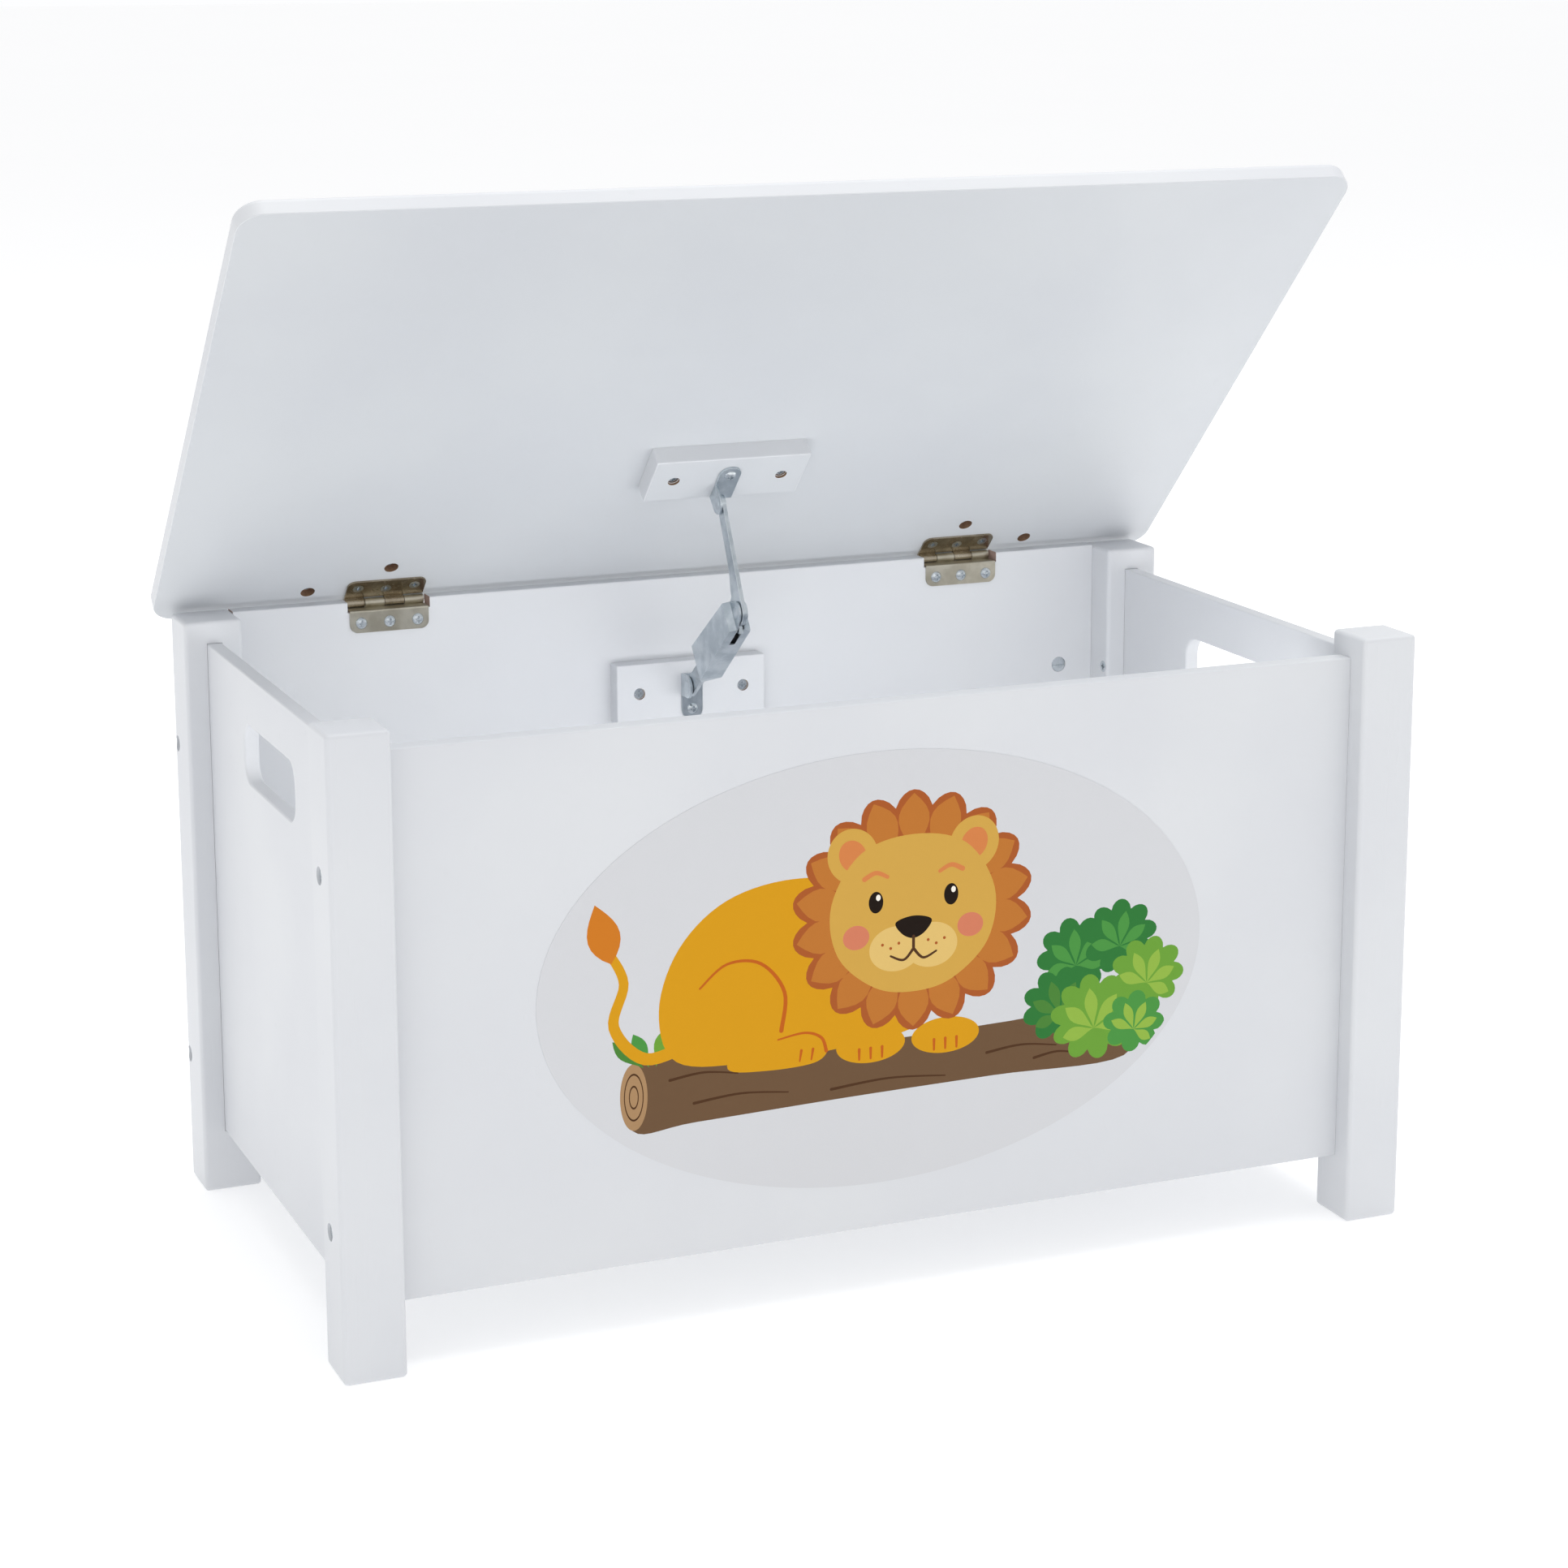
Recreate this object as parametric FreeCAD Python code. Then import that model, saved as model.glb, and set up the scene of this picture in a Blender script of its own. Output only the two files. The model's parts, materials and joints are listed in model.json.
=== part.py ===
"""Wooden toy box: four posts, grooved panels, a hinged lid and a folding lid stay.

+X runs along the box to its right, +Y to its rear and +Z up. All sizes are in millimetres.
Everything is drawn about the centre of the posts' footprint on the floor. The lid is stored open,
held by its stay: lid pieces are drawn closed and then swung open about the hinge axis. At the end
the whole box moves forward a little, so that the origin is under the middle of the open box.
"""
import FreeCAD
import Part
import math
import os

V = FreeCAD.Vector
X_AXIS, Y_AXIS, Z_AXIS = V(1, 0, 0), V(0, 1, 0), V(0, 0, 1)

# ---- Box -------------------------------------------------------------------------------------
WIDTH, DEPTH, HEIGHT = 650.0, 350.0, 355.0      # over the posts
POST = 35.0                                     # square post section
POST_EDGE = 2.5                                 # rounded post edges
LONG_PANEL = 12.0                               # front and back panel thickness
END_PANEL = 9.0                                 # end panel thickness
FRONT_SETBACK = 14.5                            # front panel behind the front of the posts
END_SETBACK = 13.5                              # end panels inside the ends of the posts
PANEL_BOTTOM, PANEL_TOP = 37.5, 341.5
PANEL_EDGE = 1.0                                # eased panel edges
TONGUE = 10.0                                   # end panel depth in the posts
GAP = 0.15                                      # wood joint clearance
BASE_Z, BASE_T = 46.0, 6.0                      # bottom board underside and thickness
BASE_IN_LONG, BASE_IN_END = 5.0, 4.0            # board depth in the panel grooves
SLOT_LENGTH, SLOT_HEIGHT, SLOT_Z, SLOT_R = 112.0, 34.0, 295.0, 12.0

POST_IN_X = WIDTH / 2 - POST                    # inner faces of the posts
POST_IN_Y = DEPTH / 2 - POST
FRONT_Y = -DEPTH / 2 + FRONT_SETBACK            # outer face of the front panel
BACK_Y = DEPTH / 2 - LONG_PANEL                 # inner face of the back panel
END_X = WIDTH / 2 - END_SETBACK                 # outer face of an end panel

# ---- Knock-down fasteners --------------------------------------------------------------------
BOLT_Z = (80.0, 276.0)
BOLT_D, BOLT_HEAD_D, BOLT_HEAD_H, BOLT_SINK = 6.0, 9.4, 4.4, 6.0
BOLT_LENGTH = 58.0
NUT_D, NUT_LENGTH, NUT_FROM_POST = 10.0, 10.5, 24.0
FRONT_BOLT_Y = FRONT_Y + LONG_PANEL / 2
BACK_BOLT_Y = BACK_Y + LONG_PANEL / 2
END_SCREW_INSET = 5.5                           # from the post's face to the screw

# ---- Picture on the front --------------------------------------------------------------------
PICTURE_X, PICTURE_Z = -8.0, 189.0
PICTURE_A, PICTURE_B, PICTURE_T = 202.0, 125.0, 0.2

# ---- Lid -------------------------------------------------------------------------------------
LID_WIDTH, LID_DEPTH, LID_T = 672.0, 367.0, 12.0
LID_CORNER, LID_ROUND, LID_EDGE = 15.0, 4.0, 0.6
LID_SEAT = HEIGHT + 0.3                         # underside of the closed lid
LID_REAR = 181.0                                # rear edge of the closed lid
LID_OPEN = 45.6                                 # degrees open in the stored pose
ORIGIN_SHIFT = -6.7                             # moves the open box's middle over the origin

# ---- Hinges ----------------------------------------------------------------------------------
HINGE_X, HINGE_WIDTH = 193.0, 50.0
LEAF_T, BARREL_R, PIN_R = 1.2, 3.0, 1.5
AXIS_Y = 174.5
AXIS_Z = LID_SEAT - BARREL_R - 0.3
NOTCH_Z = AXIS_Z - BARREL_R - 0.4               # cut in the back panel's top edge
LEAF_DROP = 336.0                               # lower edge of the box leaf
LEAF_REACH = 19.0                               # lid leaf from the axis
LEAF_CORNER = 5.0
LEAF_SCREW_PITCH = 17.8
BOX_SCREW_Z = 342.0
LID_SCREW_REACH = 11.5

# ---- Lid stay --------------------------------------------------------------------------------
BLOCK_LENGTH, BLOCK_HEIGHT, BLOCK_T = 100.0, 38.0, 12.0
LOWER_BLOCK_Z = 265.5                           # lower edge of the block on the back panel
UPPER_BLOCK_V = 104.0                           # from the lid's rear edge to the block
BLOCK_SCREW_X = 35.0
PLATE_W, PLATE_L, PLATE_T = 14.0, 30.0, 1.5     # bracket plate
EAR_REACH = 10.0                                # pivot above the plate's back
PIVOT_FROM_END = 7.0
LOWER_PIVOT_Z = 288.5
KNEE_Y, KNEE_Z = 58.5, 351.3
UPPER_PIVOT_V = 111.5                           # from the lid's rear edge
RIVET_R, ARM_T = 2.0, 2.5
ARM_X = -5.2                                    # left face of the arm
HOUSING_W, HOUSING_T = 14.0, 1.2
HUB_R, DISC_R = 8.2, 13.0                       # arm's hub and round brake end about the knee
BRAKE_FROM, BRAKE_TO = 22.0, 168.0              # degrees from the arm round its rear side


# ---- Helpers ---------------------------------------------------------------------------------
def box(x0, x1, y0, y1, z0, z1):
    return Part.makeBox(x1 - x0, y1 - y0, z1 - z0, V(x0, y0, z0))


def rod(centre, radius, length, axis):
    return Part.makeCylinder(radius, length, centre, axis)


def fuse(shapes):
    return shapes[0].multiFuse(shapes[1:]).removeSplitter()


def rounded_edges(shape, radius, keep=lambda edge: True):
    edges = [edge for edge in shape.Edges if keep(edge)]
    return shape.makeFillet(radius, edges) if edges else shape


def runs_along(edge, axis):
    start, end = edge.Vertexes[0].Point, edge.Vertexes[-1].Point
    return (end - start).cross(axis).Length < 1e-6


def prism(points, x0, x1):
    """Extrude a (y, z) outline along X."""
    ring = [V(x0, y, z) for y, z in points]
    face = Part.Face(Part.makePolygon(ring + ring[:1]))
    return face.extrude(V(x1 - x0, 0, 0))


def rounded_rectangle(length, height, radius, thickness):
    """A plate in the XY plane, centred, with its vertical corners rounded."""
    plate = box(-length / 2, length / 2, -height / 2, height / 2, 0, thickness)
    return rounded_edges(plate, radius, lambda edge: runs_along(edge, Z_AXIS))


def mirrored(shape):
    return shape.mirror(V(0, 0, 0), X_AXIS)


def opened(shape):
    """Swing a shape that is drawn with the lid closed into the stored open pose."""
    result = shape.copy()
    result.rotate(V(0, AXIS_Y, AXIS_Z), X_AXIS, -LID_OPEN)
    return result


def aimed(shape, centre, axis):
    """Place a shape that is drawn along +Z at a centre, pointing along an axis."""
    result = shape.copy()
    result.Placement = FreeCAD.Placement(centre, FreeCAD.Rotation(Z_AXIS, axis))
    return result


def cross_recess(size, depth):
    arm = box(-size / 2, size / 2, -size / 7, size / 7, -depth, 0.5)
    turned = arm.copy()
    turned.rotate(V(0, 0, 0), Z_AXIS, 90)
    return arm.fuse(turned)


def pan_screw(head_d, head_h, shank_d, length):
    """Dome head above z = 0 with a cross recess, shank below."""
    ball = (head_d ** 2 / 4 + head_h ** 2) / (2 * head_h)
    dome = Part.makeSphere(ball, V(0, 0, head_h - ball))
    head = dome.common(rod(V(0, 0, 0), head_d / 2, head_h, Z_AXIS))
    head = head.cut(cross_recess(head_d * 0.52, head_h * 0.7).translated(V(0, 0, head_h)))
    tip = Part.makeCone(shank_d / 2, 0.3, shank_d, V(0, 0, -length + shank_d), -Z_AXIS)
    shank = rod(V(0, 0, -length + shank_d), shank_d / 2, length - shank_d, Z_AXIS)
    return fuse([head, shank, tip])


def flat_screw(head_d, shank_d, length):
    """Countersunk head flush with z = 0, shank below."""
    depth = (head_d - shank_d) / 2
    head = Part.makeCone(shank_d / 2, head_d / 2, depth, V(0, 0, -depth))
    tip = Part.makeCone(shank_d / 2, 0.3, shank_d, V(0, 0, -length + shank_d), -Z_AXIS)
    shank = rod(V(0, 0, -length + shank_d), shank_d / 2, length - shank_d - depth, Z_AXIS)
    return fuse([head, shank, tip]).cut(cross_recess(head_d * 0.55, depth * 0.8))


def flat_seat(head_d, shank_d, length):
    """Clearance cutter for a countersunk screw."""
    depth = (head_d - shank_d) / 2
    head = Part.makeCone(shank_d / 2 + 0.05, head_d / 2 + 0.05, depth, V(0, 0, -depth))
    top = rod(V(0, 0, 0), head_d / 2 + 0.05, 1, Z_AXIS)
    return fuse([head, top, rod(V(0, 0, -length - 0.3), shank_d / 2 + 0.05, length + 0.3, Z_AXIS)])


# ---- Posts -----------------------------------------------------------------------------------
def bolt_places():
    """Centre and outward direction of each panel bolt at the post's outer end face."""
    for side in (-1, 1):
        for y in (FRONT_BOLT_Y, BACK_BOLT_Y):
            for z in BOLT_Z:
                yield V(side * WIDTH / 2, y, z), V(side, 0, 0)


def end_screw_places():
    """Centre and outward direction of each end panel screw on the posts' inner faces."""
    for side in (-1, 1):
        for end in (-1, 1):
            for z in BOLT_Z:
                yield V(side * POST_IN_X, end * (POST_IN_Y + END_SCREW_INSET), z), V(-side, 0, 0)


END_SCREW = (7.6, 3.5, 18.0)


def post(side, end):
    """One corner post; side is -1 left or 1 right, end is -1 front or 1 rear."""
    x0, y0 = sorted((side * POST_IN_X, side * WIDTH / 2))[0], sorted((end * POST_IN_Y, end * DEPTH / 2))[0]
    body = rounded_edges(box(x0, x0 + POST, y0, y0 + POST, 0, HEIGHT), POST_EDGE)
    x_out, x_in = side * (END_X + GAP), side * (END_X - END_PANEL - GAP)
    y_in, y_deep = end * (POST_IN_Y - 1), end * (POST_IN_Y + TONGUE + 0.4)
    mortise = box(min(x_in, x_out), max(x_in, x_out), min(y_in, y_deep), max(y_in, y_deep),
                  PANEL_BOTTOM - GAP, PANEL_TOP + GAP)
    body = body.cut(mortise)
    for place, outward in bolt_places():
        hole = fuse([rod(place - outward * 40, BOLT_D / 2 + 0.2, 41, outward),
                     rod(place - outward * BOLT_SINK, BOLT_HEAD_D / 2 + 0.3, BOLT_SINK + 1, outward)])
        body = body.cut(hole)
    for place, outward in end_screw_places():
        body = body.cut(aimed(flat_seat(*END_SCREW), place, outward))
    return body


# ---- Panels ----------------------------------------------------------------------------------
def base_outline(clearance):
    """The bottom board, grown by a clearance for its grooves; corners are cut for the posts."""
    x, y0, y1 = END_X - END_PANEL + BASE_IN_END, FRONT_Y + LONG_PANEL - BASE_IN_LONG, BACK_Y + BASE_IN_LONG
    board = box(-x - clearance, x + clearance, y0 - clearance, y1 + clearance,
                BASE_Z - clearance, BASE_Z + BASE_T + clearance)
    for sx in (-1, 1):
        for sy in (-1, 1):
            cx, cy = sx * (POST_IN_X - 0.3 + clearance), sy * (POST_IN_Y - 0.3 + clearance)
            fx, fy = sx * WIDTH, sy * DEPTH
            board = board.cut(box(min(cx, fx), max(cx, fx), min(cy, fy), max(cy, fy), 0, HEIGHT))
    return board


def base_board():
    return base_outline(0.0)


def nut_places():
    """Centre of each barrel nut at the panel's inner face, and the way it faces."""
    for side in (-1, 1):
        x = side * (POST_IN_X - NUT_FROM_POST)
        for z in BOLT_Z:
            yield V(x, FRONT_Y + LONG_PANEL, z), V(0, 1, 0)
            yield V(x, BACK_Y, z), V(0, -1, 0)


def long_panel(y0, z_top):
    """A panel between two posts, bored for its bolts and barrel nuts and grooved for the board."""
    x = POST_IN_X - 0.1
    panel = box(-x, x, y0, y0 + LONG_PANEL, PANEL_BOTTOM, z_top)
    panel = rounded_edges(panel, PANEL_EDGE, lambda edge: runs_along(edge, X_AXIS))
    panel = panel.cut(base_outline(GAP))
    for place, outward in bolt_places():
        bolt_tip = place - outward * (BOLT_LENGTH + BOLT_SINK + 2)
        panel = panel.cut(rod(bolt_tip, BOLT_D / 2 + 0.2, 60, outward))
    for place, outward in nut_places():
        nut_floor = place - outward * (NUT_LENGTH + 0.2)
        panel = panel.cut(rod(nut_floor, NUT_D / 2 + 0.05, NUT_LENGTH + 5, outward))
    return panel


def front_panel():
    return long_panel(FRONT_Y, PANEL_TOP)


def back_panel():
    panel = long_panel(BACK_Y, HEIGHT)
    for side in (-1, 1):
        x = side * HINGE_X
        notch = box(x - HINGE_WIDTH / 2 - 1, x + HINGE_WIDTH / 2 + 1, BACK_Y - 1, DEPTH, NOTCH_Z, HEIGHT + 1)
        panel = panel.cut(notch)
    for place, outward in box_screw_places():
        panel = panel.cut(rod(place - outward * 11.5, BOX_SCREW[2] / 2 + 0.05, 12, outward))
    return panel.cut(on_wall(block_screw_holes(), LOWER_BLOCK_Z))


def end_panel(side):
    x0, x1 = sorted((side * (END_X - END_PANEL), side * END_X))
    y = POST_IN_Y + TONGUE
    panel = box(x0, x1, -y, y, PANEL_BOTTOM, PANEL_TOP)
    panel = rounded_edges(panel, PANEL_EDGE, lambda edge: runs_along(edge, Y_AXIS))
    slot = rounded_rectangle(SLOT_LENGTH, SLOT_HEIGHT, SLOT_R, END_PANEL + 4)
    slot.rotate(V(0, 0, 0), Z_AXIS, 90)
    slot.rotate(V(0, 0, 0), Y_AXIS, 90)
    slot.translate(V(x0 - 2, 0, SLOT_Z))
    panel = panel.cut(slot)
    rim = [e for e in panel.Edges if abs(e.CenterOfMass.z - SLOT_Z) < SLOT_HEIGHT / 2 + 1
           and abs(e.CenterOfMass.y) < SLOT_LENGTH / 2 + 1 and e.BoundBox.XLength < 1e-4]
    panel = panel.makeFillet(1.5, rim)
    panel = panel.cut(base_outline(GAP))
    for place, outward in end_screw_places():
        panel = panel.cut(rod(place - outward * 19, END_SCREW[1] / 2 + 0.05, 10, outward))
    return panel


def front_picture():
    """A thin oval print on the front panel; the artwork itself has no thickness."""
    oval = Part.Ellipse(V(0, 0, 0), PICTURE_A, PICTURE_B).toShape()
    sheet = Part.Face(Part.Wire(oval)).extrude(V(0, 0, PICTURE_T))
    sheet.rotate(V(0, 0, 0), X_AXIS, 90)
    return sheet.translated(V(PICTURE_X, FRONT_Y, PICTURE_Z))


# ---- Panel fasteners -------------------------------------------------------------------------
def panel_bolts():
    """Socket-head connector bolts, sunk in the posts."""
    bolts = []
    for place, outward in bolt_places():
        seat = place - outward * BOLT_SINK
        head = rod(seat, BOLT_HEAD_D / 2, BOLT_HEAD_H, outward)
        socket = Part.Face(Part.makePolygon([
            V(2.6 * math.cos(math.radians(60 * i)), 2.6 * math.sin(math.radians(60 * i)), 0)
            for i in range(7)])).extrude(V(0, 0, 4))
        socket = aimed(socket, seat + outward * 1.6, outward)
        shank = rod(seat - outward * BOLT_LENGTH, BOLT_D / 2, BOLT_LENGTH, outward)
        bolts.append(fuse([head.cut(socket), shank]))
    return Part.makeCompound(bolts)


def barrel_nuts():
    nuts = []
    for place, outward in nut_places():
        nut = rod(place - outward * NUT_LENGTH, NUT_D / 2, NUT_LENGTH, outward)
        nut = rounded_edges(nut, 0.4)
        groove = box(-NUT_D, NUT_D, -0.8, 0.8, -1.6, 1)
        nut = nut.cut(aimed(groove, place, outward))
        middle = V(place.x, FRONT_BOLT_Y if outward.y > 0 else BACK_BOLT_Y, place.z)
        nuts.append(nut.cut(rod(middle - X_AXIS * 10, BOLT_D / 2 + 0.1, 20, X_AXIS)))
    return Part.makeCompound(nuts)


def side_panel_screws():
    return Part.makeCompound([aimed(flat_screw(*END_SCREW), place, outward)
                              for place, outward in end_screw_places()])


# ---- Lid -------------------------------------------------------------------------------------
LID_REAR_SCREWS = ((242.0, 17.8), (193.0, 37.2))   # x and distance from the lid's rear edge
REAR_SCREW = (7.4, 2.0, 3.5, 5.5)
REAR_SINK_R, REAR_SINK = 4.4, 5.0


def lid_y(v):
    """Closed-lid Y at a distance from the lid's rear edge."""
    return LID_REAR - v


def lid_rear_screw_places():
    for side in (-1, 1):
        for x, v in LID_REAR_SCREWS:
            yield V(side * x, lid_y(v), LID_SEAT + REAR_SINK)


def lid_closed():
    board = rounded_rectangle(LID_WIDTH, LID_DEPTH, LID_CORNER, LID_T)
    board.translate(V(0, LID_REAR - LID_DEPTH / 2, LID_SEAT))
    top = [e for e in board.Edges if e.BoundBox.ZMin > LID_SEAT + LID_T - 1e-4]
    board = board.makeFillet(LID_ROUND, top)
    under = [e for e in board.Edges if e.BoundBox.ZMax < LID_SEAT + 1e-4]
    board = board.makeFillet(LID_EDGE, under)
    for place in lid_rear_screw_places():
        board = board.cut(rod(place - Z_AXIS * 6, REAR_SINK_R, 6, Z_AXIS))
        board = board.cut(rod(place, REAR_SCREW[2] / 2 + 0.05, REAR_SCREW[3] + 0.3, Z_AXIS))
    for place, down in lid_leaf_screw_places():
        board = board.cut(aimed(flat_seat(*LEAF_SCREW), place, down))
    return board.cut(under_lid(block_screw_holes(), UPPER_BLOCK_V))


def lid_rear_screws_closed():
    screws = [aimed(pan_screw(*REAR_SCREW), place, -Z_AXIS) for place in lid_rear_screw_places()]
    return Part.makeCompound(screws)


# ---- Hinges ----------------------------------------------------------------------------------
BOX_SCREW = (7.6, 2.3, 3.2, 11.0)
LEAF_SCREW = (6.8, 3.2, 10.0)


def box_screw_places():
    """Seats of the dome-head screws on the box leaves."""
    for side in (-1, 1):
        for i in (-1, 0, 1):
            yield V(side * HINGE_X + i * LEAF_SCREW_PITCH, BACK_Y - LEAF_T, BOX_SCREW_Z), V(0, -1, 0)


def lid_leaf_screw_places():
    """Seats of the countersunk screws on the lid leaves; the middle one is set back."""
    for side in (-1, 1):
        for i in (-1, 0, 1):
            reach = LID_SCREW_REACH + (0.8 if i else -0.8)
            yield V(side * HINGE_X + i * LEAF_SCREW_PITCH, AXIS_Y - reach, LID_SEAT - LEAF_T), V(0, 0, -1)


def knuckle(x, index, bore):
    """Knuckle 0 to 3 from the left of a hinge."""
    pitch = HINGE_WIDTH / 4
    start = x - HINGE_WIDTH / 2 + index * pitch + 0.15
    centre = V(start, AXIS_Y, AXIS_Z)
    return rod(centre, BARREL_R, pitch - 0.3, X_AXIS), rod(centre - X_AXIS, bore, pitch + 2, X_AXIS)


def knuckle_gap(x, index):
    """Room in a leaf for the other leaf's knuckle."""
    pitch = HINGE_WIDTH / 4
    start = x - HINGE_WIDTH / 2 + index * pitch - 0.15
    return rod(V(start, AXIS_Y, AXIS_Z), BARREL_R + 0.5, pitch + 0.3, X_AXIS)


def hinge_box_leaf(x):
    """Cranked leaf: down the inside of the back panel and back over its top edge."""
    x0, x1 = x - HINGE_WIDTH / 2 + 0.15, x + HINGE_WIDTH / 2 - 0.15
    front, top = BACK_Y - LEAF_T, NOTCH_Z + LEAF_T
    leaf = fuse([box(x0, x1, front, BACK_Y, LEAF_DROP, top), box(x0, x1, front, AXIS_Y, NOTCH_Z, top)])
    bend = [e for e in leaf.Edges if runs_along(e, X_AXIS)
            and abs(e.CenterOfMass.y - front) < 1e-4 and abs(e.CenterOfMass.z - top) < 1e-4]
    leaf = leaf.makeFillet(LEAF_T * 0.95, bend)
    corners = [e for e in leaf.Edges if runs_along(e, Y_AXIS) and abs(e.CenterOfMass.z - LEAF_DROP) < 1e-4]
    leaf = leaf.makeFillet(LEAF_CORNER, corners)
    for index in (0, 2):
        leaf = leaf.cut(knuckle_gap(x, index))
        start = x - HINGE_WIDTH / 2 + index * HINGE_WIDTH / 4 - 0.15
        leaf = leaf.cut(box(start, start + HINGE_WIDTH / 4 + 0.3, AXIS_Y - BARREL_R, DEPTH,
                            NOTCH_Z - 1, top + 1))
    knuckles = [knuckle(x, index, PIN_R + 0.02) for index in (1, 3)]
    leaf = fuse([leaf] + [solid for solid, bore in knuckles])
    for solid, bore in knuckles:
        leaf = leaf.cut(bore)
    for place, outward in box_screw_places():
        leaf = leaf.cut(rod(place - outward * 4, BOX_SCREW[2] / 2 + 0.05, 8, outward))
    return leaf


def hinge_lid_leaf_closed(x):
    """Flat leaf under the lid."""
    x0, x1 = x - HINGE_WIDTH / 2 + 0.15, x + HINGE_WIDTH / 2 - 0.15
    leaf = box(x0, x1, AXIS_Y - LEAF_REACH, AXIS_Y, LID_SEAT - LEAF_T, LID_SEAT)
    corners = [e for e in leaf.Edges if runs_along(e, Z_AXIS)
               and abs(e.CenterOfMass.y - AXIS_Y + LEAF_REACH) < 1e-4]
    leaf = leaf.makeFillet(LEAF_CORNER, corners)
    for index in (1, 3):
        leaf = leaf.cut(knuckle_gap(x, index))
        start = x - HINGE_WIDTH / 2 + index * HINGE_WIDTH / 4 - 0.15
        leaf = leaf.cut(box(start, start + HINGE_WIDTH / 4 + 0.3, AXIS_Y - BARREL_R, DEPTH,
                            LID_SEAT - 2 * LEAF_T, LID_SEAT + 1))
    knuckles = [knuckle(x, index, PIN_R + 0.06) for index in (0, 2)]
    leaf = fuse([leaf] + [solid for solid, bore in knuckles])
    for solid, bore in knuckles:
        leaf = leaf.cut(bore)
    for place, outward in lid_leaf_screw_places():
        leaf = leaf.cut(aimed(flat_seat(*LEAF_SCREW), place, outward))
    return leaf


def hinge_pin(x):
    pin = rod(V(x - HINGE_WIDTH / 2 - 0.3, AXIS_Y, AXIS_Z), PIN_R, HINGE_WIDTH + 0.6, X_AXIS)
    return rounded_edges(pin, 0.3)


def hinge_box_screws():
    return Part.makeCompound([aimed(pan_screw(*BOX_SCREW), place, outward)
                              for place, outward in box_screw_places()])


def hinge_lid_screws_closed():
    return Part.makeCompound([aimed(flat_screw(*LEAF_SCREW), place, outward)
                              for place, outward in lid_leaf_screw_places()])


# ---- Stay blocks and brackets ------------------------------------------------------------------
# These are drawn lying on a surface at z = 0, with y running up the wall or away from the hinges,
# and then stood on the back panel or hung under the closed lid.
BLOCK_SCREW = (6.8, 3.5, 18.0)
BLOCK_SINK_R, BLOCK_SINK = 3.7, 1.6
BRACKET_SCREW = (7.6, 2.2, 3.5, 11.0)
BRACKET_SCREW_Y = PLATE_L - PLATE_W / 2


def on_wall(shape, z):
    result = shape.copy()
    result.rotate(V(0, 0, 0), X_AXIS, 90)
    result.translate(V(0, BACK_Y, z))
    return result


def under_lid(shape, v):
    result = shape.copy()
    result.rotate(V(0, 0, 0), X_AXIS, 180)
    result.translate(V(0, lid_y(v), LID_SEAT))
    return result


def block_screws():
    at = [V(x, BLOCK_HEIGHT / 2, BLOCK_T - BLOCK_SINK) for x in (-BLOCK_SCREW_X, BLOCK_SCREW_X)]
    return Part.makeCompound([flat_screw(*BLOCK_SCREW).translated(place) for place in at])


def block_screw_holes():
    at = [V(x, BLOCK_HEIGHT / 2, BLOCK_T - BLOCK_SINK) for x in (-BLOCK_SCREW_X, BLOCK_SCREW_X)]
    return fuse([flat_seat(*BLOCK_SCREW).translated(place) for place in at])


def block(screw_y):
    """A wooden block; screw_y is where the bracket's screw goes in."""
    body = box(-BLOCK_LENGTH / 2, BLOCK_LENGTH / 2, 0, BLOCK_HEIGHT, 0, BLOCK_T)
    front = [e for e in body.Edges if e.BoundBox.ZMax > BLOCK_T - 1e-4]
    body = body.makeFillet(1.0, front).cut(block_screw_holes())
    for x in (-BLOCK_SCREW_X, BLOCK_SCREW_X):
        body = body.cut(rod(V(x, BLOCK_HEIGHT / 2, BLOCK_T - BLOCK_SINK), BLOCK_SINK_R, 5, Z_AXIS))
    return body.cut(rod(V(0, screw_y, BLOCK_T + PLATE_T - 11.3), BRACKET_SCREW[2] / 2 + 0.05, 12, Z_AXIS))


def bracket():
    """Plate with one round end, and an ear along its left edge that carries the pivot."""
    half = PLATE_W / 2
    plate = fuse([box(-half, half, 0, PLATE_L - half, 0, PLATE_T),
                  rod(V(0, PLATE_L - half, 0), half, PLATE_T, Z_AXIS)])
    ear = fuse([box(-half, -half + PLATE_T, 0, 2 * PIVOT_FROM_END, 0, EAR_REACH),
                rod(V(-half, PIVOT_FROM_END, EAR_REACH), PIVOT_FROM_END, PLATE_T, X_AXIS)])
    body = fuse([plate, ear])
    bend = [e for e in body.Edges if runs_along(e, Y_AXIS) and abs(e.CenterOfMass.x + half) < 1e-4
            and abs(e.CenterOfMass.z) < 1e-4 and e.Length < 2 * PIVOT_FROM_END + 0.1]
    if bend:
        body = body.makeFillet(PLATE_T * 0.9, bend)
    body = body.cut(rod(V(0, BRACKET_SCREW_Y, -1), BRACKET_SCREW[2] / 2 + 0.05, 5, Z_AXIS))
    return body.cut(rod(V(-20, PIVOT_FROM_END, EAR_REACH), RIVET_R + 0.02, 40, X_AXIS))


LOWER_FLAT_END = LOWER_PIVOT_Z + PIVOT_FROM_END      # height of the lower bracket's flat end
UPPER_FLAT_END = UPPER_PIVOT_V - PIVOT_FROM_END      # distance of the upper one's from the lid's rear


def as_lower(shape):
    """Turn a bracket's pieces over so that the round end hangs down, and fix them to the block."""
    flipped = shape.mirror(V(0, 0, 0), Y_AXIS)
    return on_wall(flipped.translated(V(0, 0, BLOCK_T)), LOWER_FLAT_END)


def as_upper(shape):
    return opened(under_lid(shape.translated(V(0, 0, BLOCK_T)), UPPER_FLAT_END))


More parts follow.
